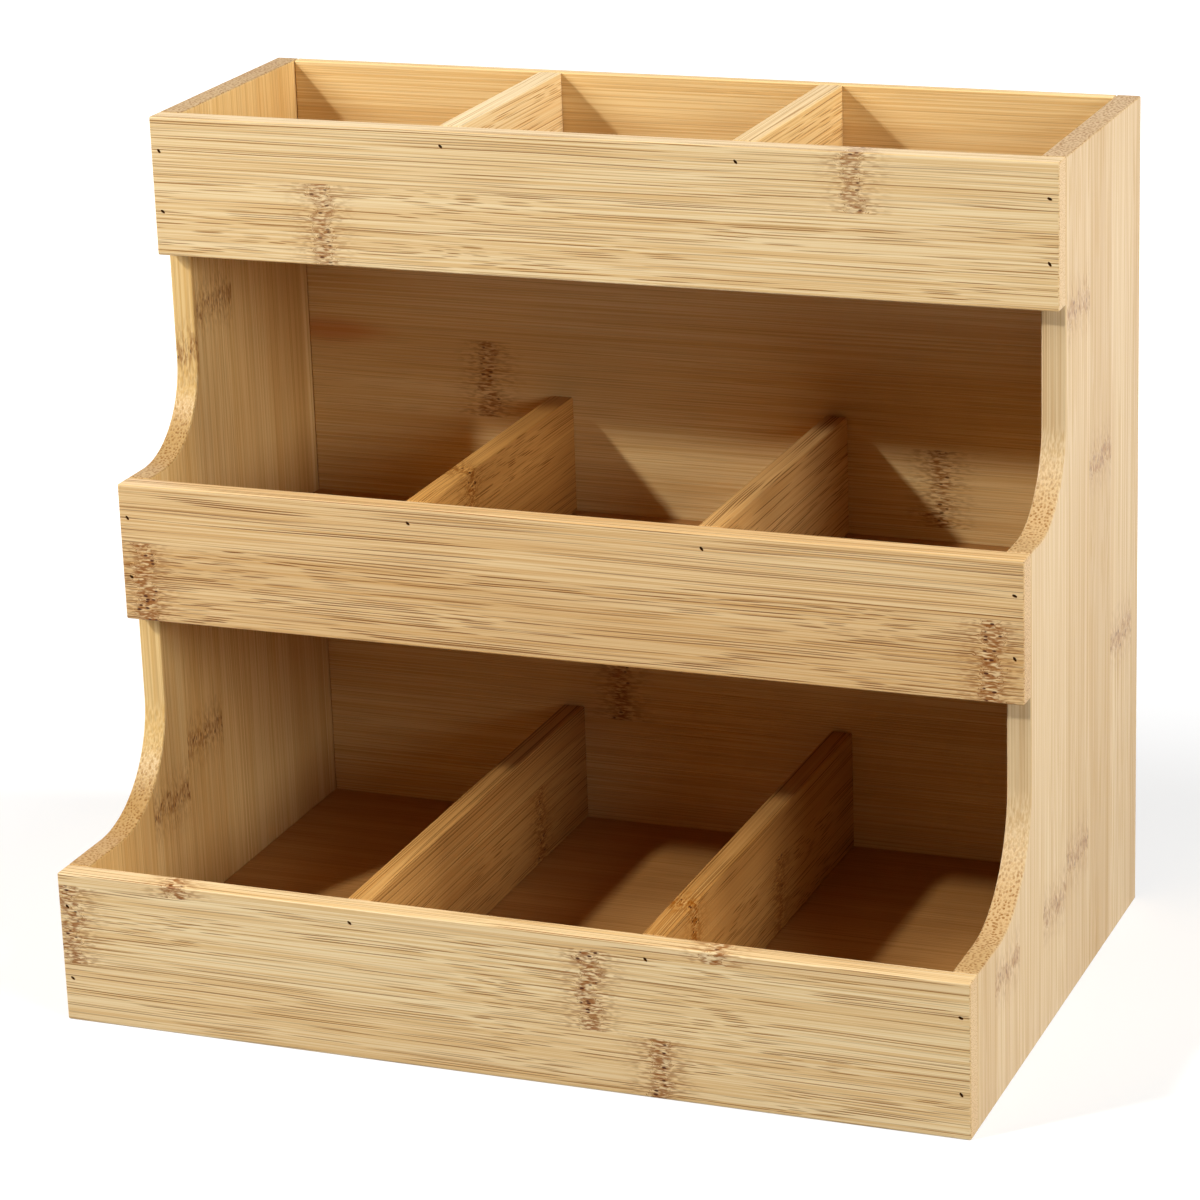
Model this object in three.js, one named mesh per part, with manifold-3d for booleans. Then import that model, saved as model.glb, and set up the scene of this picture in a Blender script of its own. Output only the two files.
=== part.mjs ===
// Three-tier organizer for wrapped tea bags, made of glued bamboo boards.
// Two stepped side panels carry a thin back. Each tier has a front rail, a shelf and two dividers,
// which make three equal compartments. Headless steel pins hold each rail to the boards behind it.
// Millimetres, +Z up, front towards -Y, origin under the middle of the organizer.
import * as THREE from "three";
import { RoundedBoxGeometry } from "three/addons/geometries/RoundedBoxGeometry.js";
import { mergeVertices } from "three/addons/utils/BufferGeometryUtils.js";
import Module from "manifold-3d";

// Overall size
const WIDTH = 310;
const DEPTH = 200;
const HEIGHT = 282;

// Boards
const SIDE_THICKNESS = 8;
const BACK_THICKNESS = 4;
const RAIL_THICKNESS = 8;
const SHELF_THICKNESS = 4;
const DIVIDER_THICKNESS = 8;
const GLUE_LINE = 0.05;
const EDGE_EASE = 0.6;
const EDGE_STEPS = 2;

// Tiers: a setback is the distance from the front of the bottom rail to the front of a higher rail,
// and a lift is the height of a shelf's underside above the lower edge of its rail.
const BOTTOM_RAIL_HEIGHT = 52;
const UPPER_RAIL_HEIGHT = 47;
const MIDDLE_SETBACK = 60;
const TOP_SETBACK = 100;
const BOTTOM_SHELF_LIFT = 5.5;
const UPPER_SHELF_LIFT = 1.5;

// Concave sweeps in the outline of the side panels, one above each step
const LOWER_SWEEP_RADIUS = 38;
const UPPER_SWEEP_RADIUS = 30;
const SWEEP_STEPS = 24;

// Pins through the rails, each driven a little below the rail's face
const PIN_DIAMETER = 0.7;
const PIN_LENGTH = 20;
const PIN_SINK = 0.4;
const PIN_CLEARANCE = 0.3;
const PIN_SIDES = 12;
const PIN_FROM_RAIL_END = 3;
const PIN_FROM_RAIL_TOP = 11.5;
const PIN_FROM_RAIL_BOTTOM = 15;
const DIVIDER_PIN_FROM_TOP = 5;

// Places that follow from the sizes
const FRONT = -DEPTH / 2;
const BACK = DEPTH / 2;
const BACK_PANEL_FRONT = BACK - BACK_THICKNESS;
const INNER_HALF_WIDTH = WIDTH / 2 - SIDE_THICKNESS;
const COMPARTMENT_WIDTH = (2 * INNER_HALF_WIDTH - 2 * DIVIDER_THICKNESS) / 3;
const DIVIDER_CENTRE = (COMPARTMENT_WIDTH + DIVIDER_THICKNESS) / 2;

const HANDS = [
  { name: "left", sign: -1 },
  { name: "right", sign: 1 },
];

const bottom = {
  name: "bottom",
  front: FRONT,
  railHeight: BOTTOM_RAIL_HEIGHT,
  top: BOTTOM_RAIL_HEIGHT,
  shelfLift: BOTTOM_SHELF_LIFT,
};
const middle = {
  name: "middle",
  front: FRONT + MIDDLE_SETBACK,
  railHeight: UPPER_RAIL_HEIGHT,
  top: (BOTTOM_RAIL_HEIGHT + HEIGHT) / 2,
  shelfLift: UPPER_SHELF_LIFT,
};
const top = {
  name: "top",
  front: FRONT + TOP_SETBACK,
  railHeight: UPPER_RAIL_HEIGHT,
  top: HEIGHT,
  shelfLift: UPPER_SHELF_LIFT,
};

const wasm = await Module();
wasm.setup();

// Satin-lacquered bamboo of a given shade
function bamboo(color) {
  return new THREE.MeshStandardMaterial({ color, roughness: 0.5, metalness: 0 });
}

// Dark wire of a headless pin
function pinSteel() {
  return new THREE.MeshStandardMaterial({ color: 0x4a4138, roughness: 0.45, metalness: 0.9 });
}

// A closed geometry as a solid that can be cut
function solidFrom(geometry) {
  const bare = geometry.clone();
  bare.deleteAttribute("normal");
  bare.deleteAttribute("uv");
  const merged = mergeVertices(bare);
  return new wasm.Manifold(
    new wasm.Mesh({
      numProp: 3,
      vertProperties: merged.attributes.position.array,
      triVerts: new Uint32Array(merged.index.array),
    }),
  );
}

// The geometry with each of the cutters taken away from it
function cutGeometry(geometry, cutters) {
  let solid = solidFrom(geometry);
  for (const cutter of cutters) {
    solid = solid.subtract(solidFrom(cutter));
  }
  const mesh = solid.getMesh();
  const cut = new THREE.BufferGeometry();
  cut.setAttribute("position", new THREE.BufferAttribute(mesh.vertProperties, mesh.numProp));
  cut.setIndex(new THREE.BufferAttribute(mesh.triVerts, 1));
  cut.computeVertexNormals();
  return cut;
}

// The hole for a pin whose driven end is at the given place: it runs along Y, opens at the rail's face
// and ends a clearance past the pin's tip.
function pinHole(driven) {
  const radius = PIN_DIAMETER / 2 + PIN_CLEARANCE;
  const start = driven.y - PIN_SINK - PIN_CLEARANCE;
  const end = driven.y + PIN_LENGTH + PIN_CLEARANCE;
  const hole = new THREE.CylinderGeometry(radius, radius, end - start, PIN_SIDES);
  return hole.translate(driven.x, (start + end) / 2, driven.z);
}

// A named mesh at a place, with its pin holes cut. The pins are given in the same frame as the place.
function drilledMesh(name, geometry, material, place, pins) {
  const holes = pins.map((pin) => pinHole(pin.clone().sub(place)));
  const mesh = new THREE.Mesh(cutGeometry(geometry, holes), material);
  mesh.name = name;
  mesh.position.copy(place);
  return mesh;
}

// A square board with eased edges that fills the space between two corners
function board(name, material, low, high, pins = []) {
  const size = new THREE.Vector3().subVectors(high, low);
  const centre = new THREE.Vector3().addVectors(low, high).multiplyScalar(0.5);
  const block = new RoundedBoxGeometry(size.x, size.y, size.z, EDGE_STEPS, EDGE_EASE);
  return drilledMesh(name, block, material, centre, pins);
}

// Where a tier's rail has its lower edge, on the middle of its front face
function tierOrigin(tier) {
  return new THREE.Vector3(0, tier.front, tier.top - tier.railHeight);
}

// The driven ends of the pins into one end of a rail, in the tier's own frame
function endPins(tier, hand) {
  const x = hand.sign * (WIDTH / 2 - PIN_FROM_RAIL_END);
  return [
    { name: `${tier.name}_${hand.name}_upper_pin`, z: tier.railHeight - PIN_FROM_RAIL_TOP },
    { name: `${tier.name}_${hand.name}_lower_pin`, z: PIN_FROM_RAIL_BOTTOM },
  ].map(({ name, z }) => ({ name, driven: new THREE.Vector3(x, PIN_SINK, z) }));
}

// The driven end of the pin into a divider, in the tier's own frame
function dividerPin(tier, hand) {
  return {
    name: `${tier.name}_${hand.name}_divider_pin`,
    driven: new THREE.Vector3(
      hand.sign * DIVIDER_CENTRE,
      PIN_SINK,
      tier.railHeight - DIVIDER_PIN_FROM_TOP,
    ),
  };
}

// One pin as a plain length of wire
function pin({ name, driven }) {
  const wire = new THREE.CylinderGeometry(PIN_DIAMETER / 2, PIN_DIAMETER / 2, PIN_LENGTH, PIN_SIDES);
  const mesh = new THREE.Mesh(wire, pinSteel());
  mesh.name = name;
  mesh.position.set(driven.x, driven.y + PIN_LENGTH / 2, driven.z);
  return mesh;
}

// The front edge of a side panel behind a tier's rail
function sideEdge(tier) {
  return tier.front + RAIL_THICKNESS + GLUE_LINE;
}

// Adds the concave sweep from a tier's step up to the front edge of the tier above. The step and the
// gap below the next rail limit how wide it can be.
function addSweep(outline, lower, upper, radius) {
  const step = sideEdge(upper) - sideEdge(lower);
  const gap = upper.top - upper.railHeight - lower.top;
  const fitted = Math.min(radius, step, gap);
  outline.absarc(sideEdge(upper) - fitted, lower.top + fitted, fitted, -Math.PI / 2, 0, false);
}

// The stepped outline of a side panel: Y runs along its first axis and Z along its second
function sideOutline() {
  const outline = new THREE.Shape();
  outline.moveTo(sideEdge(bottom), 0);
  outline.lineTo(sideEdge(bottom), bottom.top);
  addSweep(outline, bottom, middle, LOWER_SWEEP_RADIUS);
  outline.lineTo(sideEdge(middle), middle.top);
  addSweep(outline, middle, top, UPPER_SWEEP_RADIUS);
  outline.lineTo(sideEdge(top), top.top);
  outline.lineTo(BACK, HEIGHT);
  outline.lineTo(BACK, 0);
  return outline;
}

// A side panel, with the holes for the pins of every rail
function sidePanel(hand) {
  const core = SIDE_THICKNESS - 2 * EDGE_EASE;
  const slab = new THREE.ExtrudeGeometry(sideOutline(), {
    depth: core,
    curveSegments: SWEEP_STEPS,
    bevelThickness: EDGE_EASE,
    bevelSize: EDGE_EASE,
    bevelOffset: -EDGE_EASE,
    bevelSegments: EDGE_STEPS,
  });
  slab.translate(0, 0, -core / 2);
  const upright = new THREE.Matrix4().makeBasis(
    new THREE.Vector3(0, 1, 0),
    new THREE.Vector3(0, 0, 1),
    new THREE.Vector3(1, 0, 0),
  );
  slab.applyMatrix4(upright);
  const pins = [bottom, middle, top].flatMap((tier) =>
    endPins(tier, hand).map(({ driven }) => driven.add(tierOrigin(tier))),
  );
  const place = new THREE.Vector3(hand.sign * (WIDTH - SIDE_THICKNESS) / 2, 0, 0);
  return drilledMesh(`${hand.name}_side_panel`, slab, bamboo(0xe6c894), place, pins);
}

// The thin back, let in between the side panels
function backPanel() {
  const low = new THREE.Vector3(GLUE_LINE - INNER_HALF_WIDTH, BACK_PANEL_FRONT, 0);
  const high = new THREE.Vector3(INNER_HALF_WIDTH - GLUE_LINE, BACK, HEIGHT);
  return board("back_panel", bamboo(0xd9b277), low, high);
}

// A tier's rail, shelf, dividers and pins, in the tier's own frame
function tierGroup(tier) {
  const group = new THREE.Group();
  group.position.copy(tierOrigin(tier));
  const boardFront = RAIL_THICKNESS + GLUE_LINE;
  const boardBack = BACK_PANEL_FRONT - tier.front - GLUE_LINE;
  const shelfTop = tier.shelfLift + SHELF_THICKNESS;
  const pins = HANDS.flatMap((hand) => [...endPins(tier, hand), dividerPin(tier, hand)]);

  const railLow = new THREE.Vector3(-WIDTH / 2, 0, 0);
  const railHigh = new THREE.Vector3(WIDTH / 2, RAIL_THICKNESS, tier.railHeight);
  const driven = pins.map((each) => each.driven);
  group.add(board(`${tier.name}_rail`, bamboo(0xe0bf8a), railLow, railHigh, driven));

  const shelfLow = new THREE.Vector3(GLUE_LINE - INNER_HALF_WIDTH, boardFront, tier.shelfLift);
  const shelfHigh = new THREE.Vector3(INNER_HALF_WIDTH - GLUE_LINE, boardBack, shelfTop);
  group.add(board(`${tier.name}_shelf`, bamboo(0xd3aa6f), shelfLow, shelfHigh));

  for (const hand of HANDS) {
    const centre = hand.sign * DIVIDER_CENTRE;
    const half = DIVIDER_THICKNESS / 2;
    const low = new THREE.Vector3(centre - half, boardFront, shelfTop + GLUE_LINE);
    const high = new THREE.Vector3(centre + half, boardBack, tier.railHeight);
    const name = `${tier.name}_${hand.name}_divider`;
    group.add(board(name, bamboo(0xdcb67c), low, high, [dividerPin(tier, hand).driven]));
  }

  group.add(...pins.map(pin));
  return group;
}

const organizer = new THREE.Group();
organizer.add(...HANDS.map(sidePanel));
organizer.add(backPanel());
organizer.add(...[bottom, middle, top].map(tierGroup));

export default organizer;
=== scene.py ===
"""Looks, light and camera for a three-tier bamboo organizer for wrapped tea bags.

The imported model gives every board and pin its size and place. Each board is rebuilt over its node with
softened edges and drilled pin holes, and dressed in laminated bamboo with laths, fibre bundles and knuckles
of its own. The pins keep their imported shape. Metres, +Z up, front towards -Y.
"""

import logging
import math
from dataclasses import dataclass
from enum import Enum
from typing import Any

import bmesh
import bpy
from mathutils import Matrix, Vector

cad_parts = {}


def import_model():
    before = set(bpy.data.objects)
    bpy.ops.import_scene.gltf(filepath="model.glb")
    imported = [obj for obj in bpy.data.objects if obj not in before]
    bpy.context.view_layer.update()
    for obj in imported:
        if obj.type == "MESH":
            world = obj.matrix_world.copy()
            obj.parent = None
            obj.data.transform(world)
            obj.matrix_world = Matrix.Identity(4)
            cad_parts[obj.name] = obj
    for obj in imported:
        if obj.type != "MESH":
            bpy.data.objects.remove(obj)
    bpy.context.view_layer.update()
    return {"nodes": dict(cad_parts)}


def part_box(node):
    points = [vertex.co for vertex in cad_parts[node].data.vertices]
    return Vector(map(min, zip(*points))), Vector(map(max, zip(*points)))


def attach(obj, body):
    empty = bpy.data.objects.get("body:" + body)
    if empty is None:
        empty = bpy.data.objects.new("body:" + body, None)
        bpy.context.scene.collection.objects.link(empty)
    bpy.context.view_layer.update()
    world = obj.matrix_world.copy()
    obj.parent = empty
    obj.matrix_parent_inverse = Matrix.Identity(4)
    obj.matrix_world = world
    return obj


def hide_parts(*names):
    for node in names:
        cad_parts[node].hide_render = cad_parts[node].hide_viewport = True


LOG = logging.getLogger("organizer")
MM = 0.001
BODY = "root"
WHITE = "#FFFFFF"

Pair = tuple[float, float]
Triple = tuple[float, float, float]
Inputs = dict[int | str, Any]

# Settings that several nodes share: a colour mix hands back its third output, a soft range has no corners.
COLOUR_MIX: dict[str, Any] = {"data_type": "RGBA", "out": 2}
SOFT: dict[str, Any] = {"interpolation_type": "SMOOTHSTEP"}


def linear(srgb_hex: str) -> tuple[float, float, float, float]:
    """Turns an sRGB colour into the linear colour that shaders take.

    Args:
        srgb_hex: The colour as "#RRGGBB".

    Returns:
        Linear red, green, blue and an alpha of one.
    """
    shares = [int(srgb_hex[i:i + 2], 16) / 255 for i in (1, 3, 5)]
    lit = [s / 12.92 if s <= 0.04045 else ((s + 0.055) / 1.055) ** 2.4 for s in shares]
    return (lit[0], lit[1], lit[2], 1.0)


class Level(Enum):
    """The three tiers, by the first word of their nodes."""

    BOTTOM = "bottom"
    MIDDLE = "middle"
    TOP = "top"


class Hand(Enum):
    """The two sides, as seen from the front."""

    LEFT = "left"
    RIGHT = "right"


class PinPlace(Enum):
    """Where in its half of a rail a pin sits: two go into the side panel and one into the divider."""

    UPPER = "upper"
    LOWER = "lower"
    DIVIDER = "divider"


class Grain(Enum):
    """How a board's grain lies: the axes along the grain, across the laths and through the board."""

    SIDEWAYS_UPRIGHT = "XZY"
    SIDEWAYS_FLAT = "XYZ"
    FRONT_TO_BACK = "YZX"
    UPRIGHT = "ZYX"

    def axis(self, place: int) -> int:
        """Gives the number of the axis at a place in the grain's order."""
        return "XYZ".index(self.value[place])

    def direction(self) -> Vector:
        """Gives the unit vector along the grain."""
        return Vector([1.0 if i == self.axis(0) else 0.0 for i in range(3)])


class NodeSheet:
    """A node tree that is filled one node at a time."""

    def __init__(self, tree: bpy.types.NodeTree) -> None:
        """Empties the tree, so that every node in it is one of ours."""
        self.tree = tree
        tree.nodes.clear()

    def add(self, kind: str, inputs: Inputs | None = None, out: int | str = 0, **settings: Any) -> Any:
        """Adds one node with its settings, values and links.

        Args:
            kind: The node's type without the ShaderNode prefix.
            inputs: For each input socket, a value or the output socket that feeds it.
            out: Which of the node's outputs is handed back.
            settings: The node's own properties.

        Returns:
            The chosen output socket, or None for a node that has no outputs.
        """
        node = self.tree.nodes.new("ShaderNode" + kind)
        for name, value in settings.items():
            setattr(node, name, value)
        for key, value in (inputs or {}).items():
            if isinstance(value, bpy.types.NodeSocket):
                self.tree.links.new(value, node.inputs[key])
            else:
                node.inputs[key].default_value = value
        return node.outputs[out] if node.outputs else None


@dataclass(frozen=True)
class Tone:
    """One culm's colours: pale, middle and ripe streaks, fibre bundles, and the sawn end of the grain."""

    straw: str
    tan: str
    ripe: str
    bundle: str = "#8C5A1A"
    end_grain: str = "#CBA570"


class Culm(Enum):
    """The culms that the boards were cut from. The darker ones on the shelves and lower dividers are partly
    painted shade.
    """

    PALE = Tone("#EBD3A5", "#DAB67E", "#CA9C60")
    TAWNY = Tone("#E6C896", "#D2A86E", "#BE8E4E", "#744004")
    STRAW = Tone("#F1DAA8", "#E2BE82", "#D0A462", "#A4702C")
    FLAXEN = Tone("#DDC296", "#CCAA7A", "#BA945C", "#8A5A20", "#B8925E")
    SUNNY = Tone("#E8C88C", "#D9B06C", "#C79650", "#8A5A20", "#9C7646")
    GOLDEN = Tone("#EACC92", "#DBB372", "#C69654")
    # The four darkest are a riper tone with painted shade in it, for the dim lower tiers.
    HONEY = Tone("#DDB47A", "#CB9A5B", "#B58446", "#6E4414")
    AMBER = Tone("#CE9F5E", "#BA8646", "#A57034", "#6A4010")
    RUSSET = Tone("#D6A25A", "#C28C48", "#AB7636", "#6E4010")
    RIPE = Tone("#CB985B", "#BA8546", "#A67135")


@dataclass(frozen=True)
class Knuckle:
    """A joint of the culm where it crosses one lath, by its place along and across the grain."""

    along_mm: float
    across_mm: float


@dataclass(frozen=True)
class Stain:
    """A tongue of darker resin in a board's face, by its middle and half its length and width."""

    along_mm: float
    across_mm: float
    reach_mm: float
    spread_mm: float
    edges: Pair = (1.0, 0.2)
    strength: float = 0.6


@dataclass(frozen=True)
class BambooMarks:
    """Sizes of the marks in laminated bamboo.

    Three lengths run along, across and through a board. A pair of edges says where a noise between nought
    and one starts to count and where it counts in full.
    """

    # A lath is a strip of the culm's wall. Each has its own place in every noise, far from its neighbour's.
    lath_mm: float = 27.4
    lath_shift_mm: float = 700.0
    lump_detail: float = 1.0
    # A fibre is about 0.02 mm thick, so a streak is drawn as a bunch of them, wide enough to show.
    streak_mm: Triple = (110.0, 0.45, 0.45)
    streak_edges: Pair = (0.34, 0.66)
    ripe_mm: Triple = (150.0, 9.0, 9.0)
    ripe_edges: Pair = (0.05, 0.55)
    # A bundle wanders on its way through the lath: a little sideways, and deeper in a restless lath.
    sway_mm: Triple = (105.0, 8.0, 8.0)
    sway_side_mm: float = 2.0
    sway_depth_mm: Pair = (0.78, 5.2)
    lean: float = 0.015
    bundle_core: float = 0.55
    bundle_scatter: float = 0.85
    bundle_weight: Pair = (0.3, 1.0)
    # A knuckle is a ragged ridge across the lath, with brown drawn out of it and fibres that swerve near it.
    ragged_mm: Triple = (30.0, 4.0, 4.0)
    ragged_reach_mm: float = 10.0
    ridge_mm: Pair = (4.5, 1.35)
    smear_mm: float = 16.0
    restless_mm: float = 70.0
    restless_share: float = 0.6
    other_lath_mm: float = 1000.0
    swerve_mm: float = 4.0
    fleck_mm: Triple = (3.2, 0.75, 0.75)
    smear_edges: Pair = (0.42, 0.62)
    smear_share: float = 0.7
    rust_edges: Pair = (0.40, 0.56)
    rust_share: float = 0.8
    pale_edges: Pair = (0.52, 0.66)
    pale_share: float = 0.8
    # Pits are where the planer tore the ridge, longer along the grain than across it.
    # A pit's dark colour is partly torn fibre and partly painted shade in its hollow.
    pit_mm: float = 1.3
    pit_stretch: float = 2.2
    pit_edges: Pair = (0.36, 0.20)
    pit_zone: Pair = (0.3, 0.8)
    pit_odds: float = 0.55
    # Sawn ends: how far a face has to turn from the grain, and how much of the sawn colour it shows.
    sawn_edges: Pair = (0.3, 0.95)
    sawn_share: float = 0.6


@dataclass(frozen=True)
class BambooFinish:
    """Moso bamboo laths, edge-glued, planed, sanded and sealed with a clear satin lacquer.

    The eye sees pale straw with brown dashes where fibre bundles break the planed face, dots where the
    bundles end, darker knuckles with torn pits, partly painted shade, and a soft sheen without a mirror
    image.
    """

    board: str
    culm: Culm
    seed: float
    first_seam_mm: float
    knuckles: tuple[Knuckle, ...] = ()
    stains: tuple[Stain, ...] = ()
    smear: str = "#884E08"
    rust: str = "#884A06"
    # The pit's colour is torn fibre darkened with painted shade.
    shaded_pit: str = "#4E2002"
    resin: str = "#C8742C"
    ripe_share: float = 0.5
    knuckle_share: float = 1.0
    bundle_share: float = 0.9
    end_bundle_share: float = 0.7
    bundle_mm: float = 0.75
    bundle_radius: float = 0.31
    roughness: Pair = (0.35, 0.6)
    ior: float = 1.5
    sheen: float = 0.2
    relief_mm: float = 0.1
    relief_strength: float = 0.25
    bundle_sink: float = -0.6
    pit_sink: float = -2.0
    marks: BambooMarks = BambooMarks()

    def material(self, grain: Grain) -> bpy.types.Material:
        """Makes the finish for a board.

        Args:
            grain: How the board's grain lies.

        Returns:
            The new material.
        """
        material = bpy.data.materials.new(f"lacquered_bamboo_{self.board}")
        material.use_nodes = True
        BambooGraph(NodeSheet(material.node_tree), self, grain).write()
        return material


class BambooGraph:
    """Writes one board's bamboo as nodes, in millimetres along, across and through the board."""

    def __init__(self, sheet: NodeSheet, finish: BambooFinish, grain: Grain) -> None:
        """Keeps what the steps share."""
        self.sheet = sheet
        self.finish = finish
        self.marks = finish.marks
        self.tone = finish.culm.value
        self.grain = grain

    def write(self) -> None:
        """Runs the steps in order, from coordinates to the surface."""
        self.read_grain()
        self.find_knuckles()
        self.lead_bundles()
        self.surface(self.colour())

    def read_grain(self) -> None:
        """Splits the place on the board by its grain, and draws each lath's own chances."""
        add, marks = self.sheet.add, self.marks
        place = add("TexCoord", out="Object")
        scaled = add("VectorMath", {0: place, "Scale": 1 / MM}, operation="SCALE")
        axes = add("SeparateXYZ", {0: scaled}).node.outputs
        self.along, self.across, self.through = (axes[letter] for letter in self.grain.value)
        count = add(
            "Math",
            {0: self.across, 1: 1 / marks.lath_mm, 2: -self.finish.first_seam_mm / marks.lath_mm},
            operation="MULTIPLY_ADD",
        )
        self.lath = add("Math", {0: count}, operation="FLOOR")
        ticket = add("Math", {0: self.lath, 1: self.finish.seed}, operation="ADD")
        draw = add("TexWhiteNoise", {"W": ticket}, out="Color", noise_dimensions="1D")
        self.chance = add("SeparateColor", {0: draw}).node.outputs
        self.place = add("CombineXYZ", {0: self.along, 1: self.across, 2: self.through})
        shift = (marks.lath_shift_mm,) * 3
        self.own = add("VectorMath", {0: draw, 1: shift, 2: self.place}, operation="MULTIPLY_ADD")

    def lumps(self, lengths_mm: Triple) -> Any:
        """Draws noise whose lumps have set lengths along, across and through each lath.

        Args:
            lengths_mm: The size of a lump in the three directions.

        Returns:
            Three independent noises, as outputs named Red, Green and Blue.
        """
        add = self.sheet.add
        stretch = tuple(1 / length for length in lengths_mm)
        spot = add("VectorMath", {0: self.own, 1: stretch}, operation="MULTIPLY")
        detail = self.marks.lump_detail
        lumps = add("TexNoise", {"Vector": spot, "Scale": 1.0, "Detail": detail}, out="Color")
        return add("SeparateColor", {0: lumps}).node.outputs

    def find_knuckles(self) -> None:
        """Measures how far along the grain the lath's nearest knuckle is, and what it reaches."""
        add, finish, marks = self.sheet.add, self.finish, self.marks
        self.ridge = self.smear = self.fleck = self.restless = None
        if not finish.knuckles:
            return
        ragged = self.lumps(marks.ragged_mm)["Red"]
        swing = {0: ragged, 1: marks.ragged_reach_mm, 2: self.along}
        ragged_along = add("Math", swing, operation="MULTIPLY_ADD")
        nearest = None
        for knuckle in finish.knuckles:
            lath = math.floor((knuckle.across_mm - finish.first_seam_mm) / marks.lath_mm)
            middle = knuckle.along_mm + marks.ragged_reach_mm / 2
            gap = add("Math", {0: ragged_along, 1: middle}, operation="SUBTRACT")
            length = add("Math", {0: gap}, operation="ABSOLUTE")
            other = add("Math", {0: self.lath, 1: float(lath)}, operation="SUBTRACT")
            away = add("Math", {0: other}, operation="ABSOLUTE")
            reach = add("Math", {0: away, 1: marks.other_lath_mm, 2: length}, operation="MULTIPLY_ADD")
            nearest = reach if nearest is None else add("Math", {0: nearest, 1: reach}, operation="MINIMUM")
        self.ridge = add("MapRange", {0: nearest, 1: marks.ridge_mm[0], 2: marks.ridge_mm[1]}, **SOFT)
        self.smear = add("MapRange", {0: nearest, 1: marks.smear_mm, 2: 0.0}, **SOFT)
        self.restless = add(
            "MapRange", {0: nearest, 1: marks.restless_mm, 2: 0.0, 4: marks.restless_share}, **SOFT
        )
        self.fleck = self.lumps(marks.fleck_mm)

    def lead_bundles(self) -> None:
        """Leads the fibre bundles through the board: each dives and rises, so the face cuts dashes."""
        add, finish, marks = self.sheet.add, self.finish, self.marks
        sway = self.lumps(marks.sway_mm)
        side = add("Math", {0: sway["Red"], 1: marks.sway_side_mm, 2: self.across}, operation="MULTIPLY_ADD")
        calm, wild = marks.sway_depth_mm
        unrest = add("MapRange", {0: self.chance["Red"], 3: calm, 4: wild})
        if self.restless is not None:
            unrest = add("Math", {0: self.restless, 1: unrest, 2: unrest}, operation="MULTIPLY_ADD")
        deep = add("Math", {0: sway["Green"], 1: unrest, 2: self.through}, operation="MULTIPLY_ADD")
        lean = add("MapRange", {0: self.chance["Green"], 3: -marks.lean, 4: marks.lean})
        deep = add("Math", {0: self.along, 1: lean, 2: deep}, operation="MULTIPLY_ADD")
        if self.ridge is not None:
            swerve = add("Math", {0: self.ridge, 1: marks.swerve_mm}, operation="MULTIPLY")
            deep = add("Math", {0: self.fleck["Green"], 1: swerve, 2: deep}, operation="MULTIPLY_ADD")
            side = add("Math", {0: self.fleck["Blue"], 1: swerve, 2: side}, operation="MULTIPLY_ADD")
        section = add("CombineXYZ", {0: side, 1: deep})
        cells = add(
            "TexVoronoi",
            {"Vector": section, "Scale": 1 / finish.bundle_mm, "Randomness": marks.bundle_scatter},
            voronoi_dimensions="2D",
        )
        inner = marks.bundle_core * finish.bundle_radius
        core = add("MapRange", {0: cells, 1: finish.bundle_radius, 2: inner}, **SOFT)
        chance = add("SeparateColor", {0: cells.node.outputs["Color"]}).node.outputs["Red"]
        weight = add("MapRange", {0: chance, 3: marks.bundle_weight[0], 4: marks.bundle_weight[1]})
        self.bundle = add("Math", {0: core, 1: weight}, operation="MULTIPLY")

    def colour(self) -> Any:
        """Lays the bamboo's colours over each other.

        Returns:
            The finished colour.
        """
        add, finish, marks, tone = self.sheet.add, self.finish, self.marks, self.tone
        start, stop = marks.streak_edges
        self.streak = add("MapRange", {0: self.lumps(marks.streak_mm)["Red"], 1: start, 2: stop}, **SOFT)
        colour = add("Mix", {0: self.streak, 6: linear(tone.straw), 7: linear(tone.tan)}, **COLOUR_MIX)
        broad = self.lumps(marks.ripe_mm)["Red"]
        ripeness = add("Math", {0: broad, 1: self.chance["Blue"]}, operation="MULTIPLY")
        start, stop = marks.ripe_edges
        ripe = add("MapRange", {0: ripeness, 1: start, 2: stop, 4: finish.ripe_share}, **SOFT)
        colour = add("Mix", {0: ripe, 6: colour, 7: linear(tone.ripe)}, **COLOUR_MIX)
        for stain in finish.stains:
            colour = self.soak(stain, colour)
        along = self.grain.direction()
        normal = add("NewGeometry", out="Normal")
        facing = add("VectorMath", {0: normal, 1: along}, out="Value", operation="DOT_PRODUCT")
        square = add("Math", {0: facing}, operation="ABSOLUTE")
        start, stop = marks.sawn_edges
        turned = add("MapRange", {0: square, 1: start, 2: stop}, **SOFT)
        sawn = add("Math", {0: turned, 1: marks.sawn_share}, operation="MULTIPLY")
        colour = add("Mix", {0: sawn, 6: colour, 7: linear(tone.end_grain)}, **COLOUR_MIX)
        share = add("MapRange", {0: turned, 3: finish.bundle_share, 4: finish.end_bundle_share})
        dash = add("Math", {0: self.bundle, 1: share}, operation="MULTIPLY")
        colour = add("Mix", {0: dash, 6: colour, 7: linear(tone.bundle)}, **COLOUR_MIX)
        return colour if self.ridge is None else self.darken_knuckles(colour)

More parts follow.
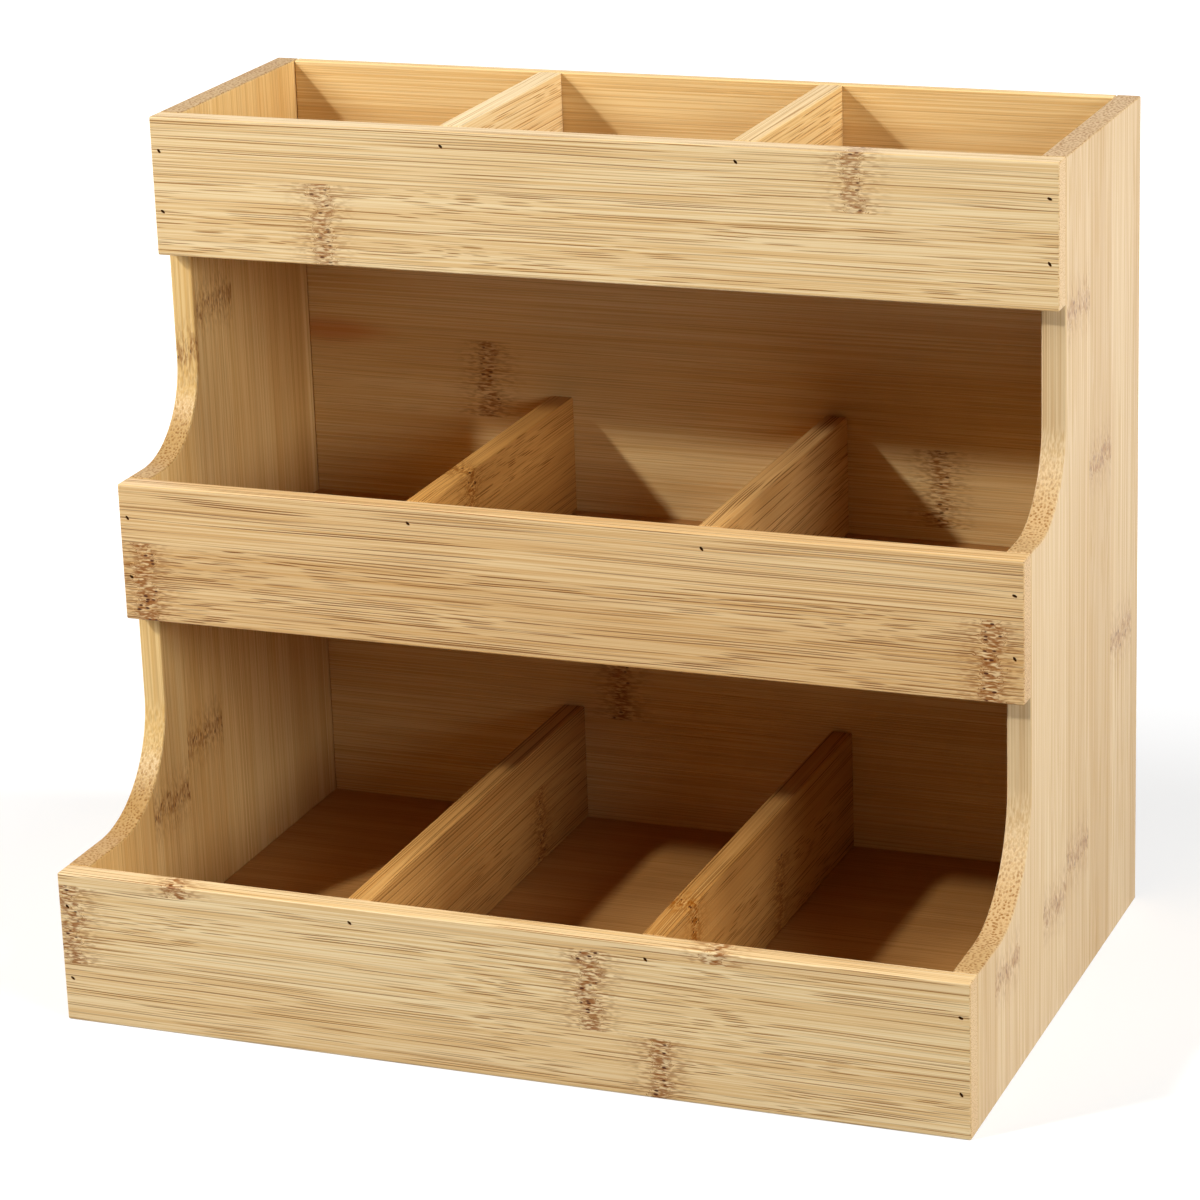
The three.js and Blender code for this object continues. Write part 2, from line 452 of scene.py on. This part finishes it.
    def soak(self, stain: Stain, colour: Any) -> Any:
        """Lets a stain soak into the bamboo, strongest in its middle.

        Args:
            stain: The stain.
            colour: The bamboo's colour so far.

        Returns:
            The colour with the stain in it.
        """
        add = self.sheet.add
        shrink = (1 / stain.reach_mm, 1 / stain.spread_mm, 0.0)
        middle = (-stain.along_mm / stain.reach_mm, -stain.across_mm / stain.spread_mm, 0.0)
        spot = add("VectorMath", {0: self.place, 1: shrink, 2: middle}, operation="MULTIPLY_ADD")
        gap = add("VectorMath", {0: spot}, out="Value", operation="LENGTH")
        rim, heart = stain.edges
        share = add("MapRange", {0: gap, 1: rim, 2: heart, 4: stain.strength}, **SOFT)
        return add("Mix", {0: share, 6: colour, 7: linear(self.finish.resin)}, **COLOUR_MIX)

    def darken_knuckles(self, colour: Any) -> Any:
        """Smears the knuckles brown along the grain, ruffles them and opens their pits, dark with torn fibre
        and painted shade.

        Args:
            colour: The bamboo's colour so far.

        Returns:
            The colour with the knuckles in it.
        """
        add, finish, marks = self.sheet.add, self.finish, self.marks
        coats = (
            (self.smear, "Red", marks.smear_edges, marks.smear_share, finish.smear),
            (self.ridge, "Green", marks.rust_edges, marks.rust_share, finish.rust),
            (self.ridge, "Blue", marks.pale_edges, marks.pale_share, self.tone.straw),
        )
        for reach, channel, (start, stop), top, shade in coats:
            most = top * finish.knuckle_share
            spots = add("MapRange", {0: self.fleck[channel], 1: start, 2: stop, 4: most}, **SOFT)
            share = add("Math", {0: reach, 1: spots}, operation="MULTIPLY")
            colour = add("Mix", {0: share, 6: colour, 7: linear(shade)}, **COLOUR_MIX)
        stretch = (1 / marks.pit_stretch, 1.0, 1.0)
        torn = add("VectorMath", {0: self.own, 1: stretch}, operation="MULTIPLY")
        pits = add("TexVoronoi", {"Vector": torn, "Scale": 1 / marks.pit_mm})
        chance = add("SeparateColor", {0: pits.node.outputs["Color"]}).node.outputs["Red"]
        rim, heart = marks.pit_edges
        hole = add("MapRange", {0: pits, 1: rim, 2: heart, 4: finish.knuckle_share}, **SOFT)
        chosen = add("Math", {0: chance, 1: marks.pit_odds}, operation="GREATER_THAN")
        start, stop = marks.pit_zone
        crest = add("MapRange", {0: self.ridge, 1: start, 2: stop}, **SOFT)
        near = add("Math", {0: crest, 1: chosen}, operation="MULTIPLY")
        self.shaded_pit = add("Math", {0: hole, 1: near}, operation="MULTIPLY")
        # The pits are painted dark: torn fibre with painted shade for each hollow.
        return add("Mix", {0: self.shaded_pit, 6: colour, 7: linear(finish.shaded_pit)}, **COLOUR_MIX)

    def surface(self, colour: Any) -> None:
        """Ends the sheet with the lacquered surface: bundles and pits lie a little lower and duller.

        Args:
            colour: The finished colour.
        """
        add, finish = self.sheet.add, self.finish
        height = add(
            "Math", {0: self.bundle, 1: finish.bundle_sink, 2: self.streak}, operation="MULTIPLY_ADD"
        )
        if self.ridge is not None:
            height = add("Math", {0: self.shaded_pit, 1: finish.pit_sink, 2: height}, operation="MULTIPLY_ADD")
        relief = {"Strength": finish.relief_strength, "Distance": finish.relief_mm * MM, "Height": height}
        gloss, dull = finish.roughness
        lacquer = {
            "Base Color": colour,
            "Roughness": add("MapRange", {0: self.bundle, 3: gloss, 4: dull}),
            "IOR": finish.ior,
            "Specular IOR Level": finish.sheen,
            "Normal": add("Bump", relief),
        }
        add("OutputMaterial", {"Surface": add("BsdfPrincipled", lacquer)})


@dataclass(frozen=True)
class TornBambooFinish:
    """Bamboo fibre crushed and torn by a driven pin: matt and stringy, its near-black partly painted shade.
    """

    name: str = "crushed_bamboo_fibre"
    # Near-black: crushed fibre with painted shade for the depth of the hole.
    crushed_and_shaded: str = "#4A1A00"
    stringy: str = "#6A3404"
    # A bunch of fibres, drawn coarser than the fibres' own 0.02 mm so that it shows.
    fibre_mm: float = 0.3
    roughness: Pair = (0.8, 0.95)
    ior: float = 1.5
    sheen: float = 0.0

    def material(self) -> bpy.types.Material:
        """Makes the material of a torn mouth.

        Returns:
            The new material.
        """
        material = bpy.data.materials.new(self.name)
        material.use_nodes = True
        add = NodeSheet(material.node_tree).add
        fine = 1 / (self.fibre_mm * MM)
        spot = add("VectorMath", {0: add("TexCoord", out="Object"), "Scale": fine}, operation="SCALE")
        strings = add("TexNoise", {"Vector": spot, "Scale": 1.0, "Detail": 1.0})
        dark, pale = linear(self.crushed_and_shaded), linear(self.stringy)
        fibre = {
            "Base Color": add("Mix", {0: strings, 6: dark, 7: pale}, **COLOUR_MIX),
            "Roughness": add("MapRange", {0: strings, 3: self.roughness[0], 4: self.roughness[1]}),
            "IOR": self.ior,
            "Specular IOR Level": self.sheen,
        }
        add("OutputMaterial", {"Surface": add("BsdfPrincipled", fibre)})
        return material


@dataclass(frozen=True)
class PinSteelFinish:
    """Drawn steel wire, cut and driven, scratched along it; its near-black is painted shade and tarnish."""

    name: str = "drawn_pin_steel"
    # Both colours are near-black: painted shade for a pin head sunk in its hole, with some tarnish.
    shaded_steel: str = "#3C2A1C"
    tarnish_and_shade: str = "#24160C"
    # Lines of the drawing die, a few times coarser than real ones so that they show.
    scratch_mm: float = 0.15
    scratch_stretch: float = 20.0
    roughness: Pair = (0.35, 0.6)

    def material(self) -> bpy.types.Material:
        """Makes the wire's material.

        Returns:
            The new material.
        """
        material = bpy.data.materials.new(self.name)
        material.use_nodes = True
        add = NodeSheet(material.node_tree).add
        fine = 1 / (self.scratch_mm * MM)
        stretch = (fine, fine / self.scratch_stretch, fine)
        spot = add("VectorMath", {0: add("TexCoord", out="Object"), 1: stretch}, operation="MULTIPLY")
        lines = add("TexNoise", {"Vector": spot, "Scale": 1.0, "Detail": 2.0})
        bright, dull = linear(self.shaded_steel), linear(self.tarnish_and_shade)
        metal = {
            "Base Color": add("Mix", {0: lines, 6: bright, 7: dull}, **COLOUR_MIX),
            "Metallic": 1.0,
            "Roughness": add("MapRange", {0: lines, 3: self.roughness[0], 4: self.roughness[1]}),
        }
        add("OutputMaterial", {"Surface": add("BsdfPrincipled", metal)})
        return material


@dataclass
class Board:
    """One bamboo board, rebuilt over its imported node."""

    node: str
    grain: Grain
    finish: BambooFinish
    ease_mm: float = 0.6
    ease_steps: int = 3
    sharp_deg: float = 30.0
    hole_clearance_mm: float = 0.1
    hole_sides: int = 20

    def corners(self) -> tuple[Vector, Vector]:
        """Gives the board's lowest and highest corners."""
        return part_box(self.node)

    def outline(self) -> list[Pair]:
        """Gives the outline of a square board.

        Returns:
            Its points along and across the grain, in metres.
        """
        low, high = self.corners()
        along, across = self.grain.axis(0), self.grain.axis(1)
        return [
            (low[along], low[across]),
            (high[along], low[across]),
            (high[along], high[across]),
            (low[along], high[across]),
        ]

    def build(self, pins: list[str]) -> None:
        """Builds the board, drills it, dresses it and lets it stand for its node.

        Args:
            pins: The nodes of all pins, of which some pass through this board.
        """
        mesh = bpy.data.meshes.new(self.node + "_board")
        piece = bpy.data.objects.new(self.node + "_board", mesh)
        bpy.context.scene.collection.objects.link(piece)
        self.shape(mesh)
        self.drill(piece, pins)
        self.dress(mesh, pins)
        mesh.polygons.foreach_set("use_smooth", [True] * len(mesh.polygons))
        piece.modifiers.new("flat_faces", "WEIGHTED_NORMAL")
        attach(piece, BODY)
        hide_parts(self.node)
        LOG.info("board %s, %d faces, %d knuckles", self.node, len(mesh.polygons), len(self.finish.knuckles))

    def dress(self, mesh: bpy.types.Mesh, pins: list[str]) -> None:
        """Gives the board its bamboo; the pins matter only to boards that show torn mouths."""
        mesh.materials.append(self.finish.material(self.grain))

    def shape(self, mesh: bpy.types.Mesh) -> None:
        """Extrudes the outline through the board and eases every edge.

        Args:
            mesh: The mesh that takes the shape.
        """
        low, high = self.corners()
        along, across, through = (self.grain.axis(i) for i in range(3))
        shape = bmesh.new()
        ring = []
        for a, b in self.outline():
            spot = Vector()
            spot[along], spot[across], spot[through] = a, b, low[through]
            ring.append(shape.verts.new(spot))
        face = shape.faces.new(ring)
        grown = bmesh.ops.extrude_face_region(shape, geom=[face])["geom"]
        depth = Vector()
        depth[through] = high[through] - low[through]
        moved = [item for item in grown if isinstance(item, bmesh.types.BMVert)]
        bmesh.ops.translate(shape, verts=moved, vec=depth)
        bmesh.ops.recalc_face_normals(shape, faces=shape.faces)
        sharp = [edge for edge in shape.edges if edge.calc_face_angle(0.0) > math.radians(self.sharp_deg)]
        bmesh.ops.bevel(
            shape,
            geom=sharp,
            offset=self.ease_mm * MM,
            offset_type="OFFSET",
            segments=self.ease_steps,
            profile=0.5,
            affect="EDGES",
        )
        shape.to_mesh(mesh)
        shape.free()

    def crossing(self, pins: list[str]) -> list[tuple[Vector, Vector]]:
        """Picks the pins that pass through the board.

        Args:
            pins: The nodes of all pins.

        Returns:
            The lowest and highest corner of each of them.
        """
        low, high = self.corners()
        boxes = [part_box(pin) for pin in pins]
        return [
            (start, end)
            for start, end in boxes
            if all(start[i] < high[i] and end[i] > low[i] for i in range(3))
        ]

    def drill(self, piece: bpy.types.Object, pins: list[str]) -> None:
        """Cuts the holes of the pins that pass through the board.

        Args:
            piece: The board so far.
            pins: The nodes of all pins.
        """
        cutter = bmesh.new()
        gap = self.hole_clearance_mm * MM
        for start, end in self.crossing(pins):
            radius = (end.x - start.x) / 2 + gap
            centre = (start + end) / 2 - Vector((0, gap, 0))
            turn = Matrix.Translation(centre) @ Matrix.Rotation(math.pi / 2, 4, "X")
            bmesh.ops.create_cone(
                cutter,
                cap_ends=True,
                segments=self.hole_sides,
                radius1=radius,
                radius2=radius,
                depth=end.y - start.y + 4 * gap,
                matrix=turn,
            )
        if cutter.verts:
            self.cut(piece, cutter)
        cutter.free()

    def cut(self, piece: bpy.types.Object, cutter: bmesh.types.BMesh) -> None:
        """Takes a cutter's shape away from the board's mesh.

        Args:
            piece: The board so far.
            cutter: The shape to take away.
        """
        drill_mesh = bpy.data.meshes.new("drill")
        cutter.to_mesh(drill_mesh)
        drill = bpy.data.objects.new("drill", drill_mesh)
        bpy.context.scene.collection.objects.link(drill)
        holes = piece.modifiers.new("pin_holes", "BOOLEAN")
        holes.operation = "DIFFERENCE"
        holes.object = drill
        graph = bpy.context.evaluated_depsgraph_get()
        drilled = bmesh.new()
        drilled.from_mesh(bpy.data.meshes.new_from_object(piece.evaluated_get(graph)))
        drilled.to_mesh(piece.data)
        drilled.free()
        piece.modifiers.remove(holes)
        bpy.data.objects.remove(drill)


@dataclass
class Rail(Board):
    """A front rail: its pins were driven at a slant, which tore the mouths of their holes."""

    mouth_length_mm: float = 1.7
    mouth_width_mm: float = 0.9
    mouth_depth_mm: float = 1.3
    mouth_taper: float = 0.6
    slants_deg: tuple[float, ...] = (50.0, 35.0, 42.0, 20.0, 55.0, 48.0)
    skin_mm: float = 0.1
    torn: TornBambooFinish = TornBambooFinish()

    def drill(self, piece: bpy.types.Object, pins: list[str]) -> None:
        """Drills the holes and tears a slanted, narrowing mouth into each.

        Args:
            piece: The rail so far.
            pins: The nodes of all pins.
        """
        super().drill(piece, pins)
        front = self.corners()[0].y
        stretch = Matrix.Diagonal((self.mouth_length_mm / 2 * MM, self.mouth_width_mm / 2 * MM, 1.0, 1.0))
        cutter = bmesh.new()
        for slant, (start, end) in zip(self.slants_deg, self.crossing(pins)):
            centre = (start + end) / 2
            centre.y = front
            turn = Matrix.Rotation(math.radians(slant), 4, "Y") @ Matrix.Rotation(math.pi / 2, 4, "X")
            bmesh.ops.create_cone(
                cutter,
                cap_ends=True,
                segments=self.hole_sides,
                radius1=self.mouth_taper,
                radius2=2.0 - self.mouth_taper,
                depth=2 * self.mouth_depth_mm * MM,
                matrix=Matrix.Translation(centre) @ turn @ stretch,
            )
        self.cut(piece, cutter)
        cutter.free()

    def dress(self, mesh: bpy.types.Mesh, pins: list[str]) -> None:
        """Gives the rail its bamboo, and the torn mouths and holes their crushed fibre, darkened with painted
        shade.

        Args:
            mesh: The rail's mesh.
            pins: The nodes of all pins.
        """
        super().dress(mesh, pins)
        # The mouths' near-black material is partly painted shade.
        mesh.materials.append(self.torn.material())
        low, high = self.corners()
        skin = self.skin_mm * MM
        near = self.mouth_length_mm * MM
        centres = [(start + end) / 2 for start, end in self.crossing(pins)]
        for face in mesh.polygons:
            inside = low.y + skin < face.center.y < high.y - skin
            spots = [Vector((face.center.x - c.x, face.center.z - c.z)).length for c in centres]
            face.material_index = int(inside and min(spots) < near)


@dataclass
class SidePanel(Board):
    """A stepped side panel with a concave sweep above each step."""

    lower_sweep_mm: float = 38.0
    upper_sweep_mm: float = 30.0
    sweep_steps: int = 40

    def sweep(self, front: float, floor: float, radius: float) -> list[Pair]:
        """Gives a sweep that leaves a step level and meets the panel's next front edge upright.

        Args:
            front: The Y of the front edge that the sweep runs into.
            floor: The Z of the step.
            radius: The sweep's radius.

        Returns:
            Its points as Z and Y.
        """
        turns = [math.pi / 2 * i / self.sweep_steps for i in range(self.sweep_steps + 1)]
        return [
            (floor + radius - radius * math.cos(turn), front - radius + radius * math.sin(turn))
            for turn in turns
        ]

    def outline(self) -> list[Pair]:
        """Gives the stepped outline, from the rails that the panel carries.

        Returns:
            Its points along Z and across Y, in metres.
        """
        low, high = self.corners()
        bottom, middle, top = (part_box(f"{level.value}_rail")[1] for level in Level)
        glue = low.y - bottom.y
        return [
            (low.z, low.y),
            (bottom.z, low.y),
            *self.sweep(middle.y + glue, bottom.z, self.lower_sweep_mm * MM),
            (middle.z, middle.y + glue),
            *self.sweep(top.y + glue, middle.z, self.upper_sweep_mm * MM),
            (high.z, top.y + glue),
            (high.z, high.y),
            (low.z, high.y),
        ]


@dataclass
class Carcass:
    """The two side panels and the thin back that hold the tiers."""

    left_knuckles: tuple[Knuckle, ...] = (
        Knuckle(214.0, 24.0),
        Knuckle(200.0, -5.0),
        Knuckle(67.0, -5.0),
        Knuckle(52.0, -30.0),
    )
    right_knuckles: tuple[Knuckle, ...] = (
        Knuckle(174.0, 53.0),
        Knuckle(105.0, 90.0),
        Knuckle(39.0, -8.0),
        Knuckle(40.0, -57.0),
        Knuckle(47.0, 20.0),
        Knuckle(231.0, 30.0),
    )
    back_knuckles: tuple[Knuckle, ...] = (
        Knuckle(-78.0, 168.0),
        Knuckle(-33.0, 60.0),
        Knuckle(87.0, 144.0),
    )
    back_stain: Stain = Stain(along_mm=-140.0, across_mm=185.5, reach_mm=34.0, spread_mm=7.0)
    side_seam_mm: float = -73.0
    back_seam_mm: float = 20.5
    # The sides were planed from the inner wall of the culm, where bundles are wide apart and faint.
    side_bundle_mm: float = 1.2
    side_bundle_radius: float = 0.42
    side_end_share: float = 0.95

    def boards(self) -> list[Board]:
        """Lists the carcass's boards with their finishes.

        Returns:
            The left side, the right side and the back.
        """
        left = BambooFinish(
            "left_side",
            Culm.SUNNY,
            3.0,
            self.side_seam_mm,
            self.left_knuckles,
            bundle_share=0.2,
            end_bundle_share=self.side_end_share,
            bundle_mm=self.side_bundle_mm,
            bundle_radius=self.side_bundle_radius,
            knuckle_share=0.7,
        )
        right = BambooFinish(
            "right_side",
            Culm.FLAXEN,
            11.0,
            self.side_seam_mm,
            self.right_knuckles,
            bundle_share=0.16,
            end_bundle_share=self.side_end_share,
            bundle_mm=self.side_bundle_mm,
            bundle_radius=self.side_bundle_radius,
            knuckle_share=0.6,
        )
        back = BambooFinish(
            "back",
            Culm.GOLDEN,
            23.0,
            self.back_seam_mm,
            self.back_knuckles,
            (self.back_stain,),
            bundle_share=0.25,
            ripe_share=0.3,
            knuckle_share=0.8,
        )
        return [
            SidePanel("left_side_panel", Grain.UPRIGHT, left),
            SidePanel("right_side_panel", Grain.UPRIGHT, right),
            Board("back_panel", Grain.SIDEWAYS_UPRIGHT, back),
        ]


@dataclass(frozen=True)
class DividerCut:
    """What one divider was cut from: its culm, its own chances and the knuckles in it."""

    culm: Culm
    seed: float
    knuckles: tuple[Knuckle, ...] = ()


@dataclass
class Tier:
    """One tier: its rail, shelf, two dividers and six pins."""

    level: Level
    rail: BambooFinish
    dividers: dict[Hand, DividerCut]
    shelf_bundle_share: float = 0.3
    shelf_seed_step: float = 5.0

    def boards(self) -> list[Board]:
        """Lists the tier's boards with their finishes.

        Returns:
            The rail, the shelf and the two dividers.
        """
        tier = self.level.value
        shelf = BambooFinish(
            f"{tier}_shelf",
            # The shelf's dark culm is partly painted shade.
            Culm.RIPE,
            self.rail.seed + self.shelf_seed_step,
            0.0,
            bundle_share=self.shelf_bundle_share,
        )
        boards = [
            Rail(f"{tier}_rail", Grain.SIDEWAYS_UPRIGHT, self.rail),
            Board(f"{tier}_shelf", Grain.SIDEWAYS_FLAT, shelf),
        ]
        for hand, cut in self.dividers.items():
            node = f"{tier}_{hand.value}_divider"
            lower_edge_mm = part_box(node)[0].z / MM
            finish = BambooFinish(node, cut.culm, cut.seed, lower_edge_mm, cut.knuckles)
            boards.append(Board(node, Grain.FRONT_TO_BACK, finish))
        return boards

    def pins(self) -> list[str]:
        """Lists the tier's pins by node."""
        return [f"{self.level.value}_{hand.value}_{place.value}_pin" for hand in Hand for place in PinPlace]


@dataclass(frozen=True)
class Lamp:
    """A round studio lamp of a set width and power that looks at the organizer."""

    name: str
    place: Triple
    width: float
    watts: float
    aim: Triple = (0.0, 0.0, 0.14)

    def light(self) -> None:
        """Hangs the lamp in the scene."""
        data = bpy.data.lights.new(self.name, "AREA")
        data.shape = "DISK"
        data.size = self.width
        data.energy = self.watts
        lamp = bpy.data.objects.new(self.name, data)
        lamp.location = self.place
        sight = Vector(self.aim) - Vector(self.place)
        lamp.rotation_euler = sight.to_track_quat("-Z", "Y").to_euler()
        bpy.context.scene.collection.objects.link(lamp)
        LOG.info("lamp %s, %.1f W", self.name, self.watts)


@dataclass
class Studio:
    """A white floor, a small key lamp from the upper left, a softbox beside it and two lamps on the right."""

    floor_half: float = 8.0
    floor_cells: int = 4
    floor_glow: float = 0.44
    glow_from: float = 0.25
    glow_to: float = 0.9
    floor_white: str = "#C8C8C8"
    floor_bounce: str = "#ACACAC"
    ambient: float = 0.02
    behind: Pair = (-0.1, 0.3)
    lamps: tuple[Lamp, ...] = (
        Lamp("key", (-1.13, -1.31, 1.355), 0.15, 23.2),
        Lamp("left_softbox", (-1.17, -0.47, 0.96), 0.55, 15.5),
        Lamp("right_fill", (1.45, -0.71, 0.66), 0.7, 12.4),
        Lamp("right_high", (1.43, 0.13, 1.58), 0.7, 29.5),
    )

    def build(self) -> None:
        """Sets up the floor, the surround and the lamps."""
        self.lay_floor()
        self.surround()
        for lamp in self.lamps:
            lamp.light()

    def lay_floor(self) -> None:
        """Lays a plain pale floor that takes the object's shadow."""
        mesh = bpy.data.meshes.new("floor")
        shape = bmesh.new()
        cells = self.floor_cells
        bmesh.ops.create_grid(shape, x_segments=cells, y_segments=cells, size=self.floor_half)
        shape.to_mesh(mesh)
        shape.free()
        floor = bpy.data.objects.new("floor", mesh)
        bpy.context.scene.collection.objects.link(floor)
        mesh.materials.append(self.paper())

    def paper(self) -> bpy.types.Material:
        """Makes the floor's matt white paper, which glows to the eye and turns white away from the object.

        Returns:
            The new material.
        """
        material = bpy.data.materials.new("white_paper_sweep")
        material.use_nodes = True
        add = NodeSheet(material.node_tree).add
        lit = add("BsdfDiffuse", {"Color": linear(self.floor_white)})
        reach = add("VectorMath", {0: add("TexCoord", out="Object")}, out="Value", operation="LENGTH")
        bright = add("MapRange", {0: reach, 1: self.glow_from, 2: self.glow_to, 3: self.floor_glow, 4: 1.0})
        shown = add("AddShader", {0: lit, 1: add("Emission", {"Strength": bright})})
        bounce = add("BsdfDiffuse", {"Color": linear(self.floor_bounce)})
        path = add("LightPath").node.outputs
        seen = add("Math", {0: path["Is Camera Ray"], 1: path["Is Glossy Ray"]}, operation="MAXIMUM")
        both = add("MixShader", {0: seen, 1: bounce, 2: shown})
        add("OutputMaterial", {"Surface": both})
        return material

    def surround(self) -> None:
        """Makes the surround white to the eye and in the sheen from behind, and dim as light."""
        world = bpy.data.worlds.new("white_surround")
        world.use_nodes = True
        bpy.context.scene.world = world
        add = NodeSheet(world.node_tree).add
        dim = add("Background", {"Strength": self.ambient})
        white = add("Background", {"Color": linear(WHITE), "Strength": 1.0})
        path = add("LightPath").node.outputs
        heading = add("SeparateXYZ", {0: add("TexCoord", out="Generated")}, out="Y")
        behind = add("MapRange", {0: heading, 1: self.behind[0], 2: self.behind[1]})
        sheen = add("Math", {0: path["Is Glossy Ray"], 1: behind}, operation="MULTIPLY")
        seen = add("Math", {0: path["Is Camera Ray"], 1: sheen}, operation="MAXIMUM")
        both = add("MixShader", {0: seen, 1: dim, 2: white})
        add("OutputWorld", {"Surface": both})


@dataclass(frozen=True)
class PhotoCamera:
    """The camera that took the photograph, recovered from the object's corners."""

    place: Triple = (0.490943, -1.226205, 0.571569)
    azimuth_deg: float = 21.8435
    elevation_deg: float = 18.5825
    roll_deg: float = -2.0365
    lens_mm: float = 127.13
    sensor_mm: float = 36.0

    def set_up(self) -> None:
        """Makes the camera and looks through it."""
        data = bpy.data.cameras.new("photo_camera")
        data.lens = self.lens_mm
        data.sensor_width = self.sensor_mm
        camera = bpy.data.objects.new("photo_camera", data)
        turn, lift, roll = (
            math.radians(angle) for angle in (self.azimuth_deg, self.elevation_deg, self.roll_deg)
        )
        back = Vector(
            (math.sin(turn) * math.cos(lift), -math.cos(turn) * math.cos(lift), math.sin(lift))
        )
        level = Vector((math.cos(turn), math.sin(turn), 0.0))
        upright = back.cross(level)
        right = math.cos(roll) * level + math.sin(roll) * upright
        up = math.cos(roll) * upright - math.sin(roll) * level
        matrix = Matrix((right, up, back)).transposed().to_4x4()
        matrix.translation = Vector(self.place)
        camera.matrix_world = matrix
        bpy.context.scene.collection.objects.link(camera)
        bpy.context.scene.camera = camera


# Each rail's first seam is where the photo shows it, and so are the knuckles that can be made out.
TIERS = (
    Tier(
        Level.BOTTOM,
        BambooFinish(
            "bottom_rail",
            Culm.PALE,
            541.0,
            20.5,
            (
                Knuckle(-151.5, 34.0),
                Knuckle(31.0, 34.0),
                Knuckle(53.4, 10.0),
                Knuckle(-113.0, 50.0),
                Knuckle(73.4, 50.0),
            ),
        ),
        {
            # The bottom dividers' dark culms are partly painted shade.
            Hand.LEFT: DividerCut(Culm.AMBER, 983.0, (Knuckle(51.0, 25.0),)),
            Hand.RIGHT: DividerCut(Culm.AMBER, 745.0, (Knuckle(-66.0, 45.0), Knuckle(16.0, 25.0))),
        },
    ),
    Tier(
        Level.MIDDLE,
        BambooFinish(
            "middle_rail",
            Culm.TAWNY,
            2928.0,
            119.6,
            (Knuckle(-147.0, 134.0), Knuckle(144.5, 134.0)),
            bundle_radius=0.34,
        ),
        {
            # The middle dividers' dark culms are partly painted shade.
            Hand.LEFT: DividerCut(Culm.RUSSET, 2440.0, (Knuckle(3.0, 164.0),)),
            Hand.RIGHT: DividerCut(Culm.HONEY, 578.0),
        },
    ),
    Tier(
        Level.TOP,
        BambooFinish(
            "top_rail",
            Culm.PALE,
            809.0,
            235.0,
            (Knuckle(-94.0, 249.0), Knuckle(89.5, 272.0)),
            knuckle_share=0.75,
        ),
        {
            Hand.LEFT: DividerCut(Culm.STRAW, 1756.0),
            Hand.RIGHT: DividerCut(Culm.GOLDEN, 190.0),
        },
    ),
)


def main() -> None:
    """Builds the organizer around its frame, then the studio and the camera."""
    logging.basicConfig(level=logging.INFO, format="%(name)s: %(message)s")
    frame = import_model()
    bpy.context.scene.view_settings.view_transform = "Standard"
    pins = [pin for tier in TIERS for pin in tier.pins()]
    for part in (Carcass(), *TIERS):
        for board in part.boards():
            board.build(pins)
    # The pins' steel is painted near-black as shade in their holes.
    shaded_steel = PinSteelFinish().material()
    for pin in pins:
        frame["nodes"][pin].material_slots[0].material = shaded_steel
        LOG.info("pin %s in drawn steel", pin)
    Studio().build()
    PhotoCamera().set_up()


if __name__ == "__main__":
    main()
